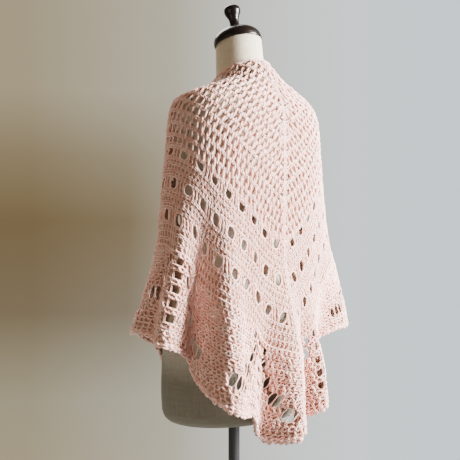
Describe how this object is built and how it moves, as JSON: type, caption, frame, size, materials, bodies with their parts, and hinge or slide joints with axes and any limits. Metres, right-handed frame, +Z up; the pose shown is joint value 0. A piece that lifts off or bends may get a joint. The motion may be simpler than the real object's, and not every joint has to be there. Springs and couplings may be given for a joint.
{
  "type": "crocheted triangular shawl cape on a limbless dress form",
  "caption": "Triangular crocheted shawl with eyelet rows and a lace border, worn as a cape over a limbless linen dress form on a pole stand.",
  "frame": {"origin": "centre of the base plate's underside, on the floor under the pole", "axes": "+Z up along the pole; the form faces -Y, so the shawl's spine is at +Y; the form's left side is +X"},
  "size_m": [0.5255, 0.3648, 1.5542],
  "materials": {
    "yarn": "matt pale pink cotton yarn, crocheted",
    "linen": "matt greige linen",
    "walnut": "dark polished wood",
    "steel": "black satin"
  },
  "bodies": {
    "root": {"shawl_wing_left": "yarn", "shawl_wing_right": "yarn", "lace_border_left": "yarn", "lace_border_right": "yarn", "picot_edge_left": "yarn", "picot_edge_right": "yarn", "form_torso": "linen", "neck_cap": "walnut", "finial_knob": "walnut", "pole": "steel", "base_plate": "steel"}
  },
  "joints": []
}
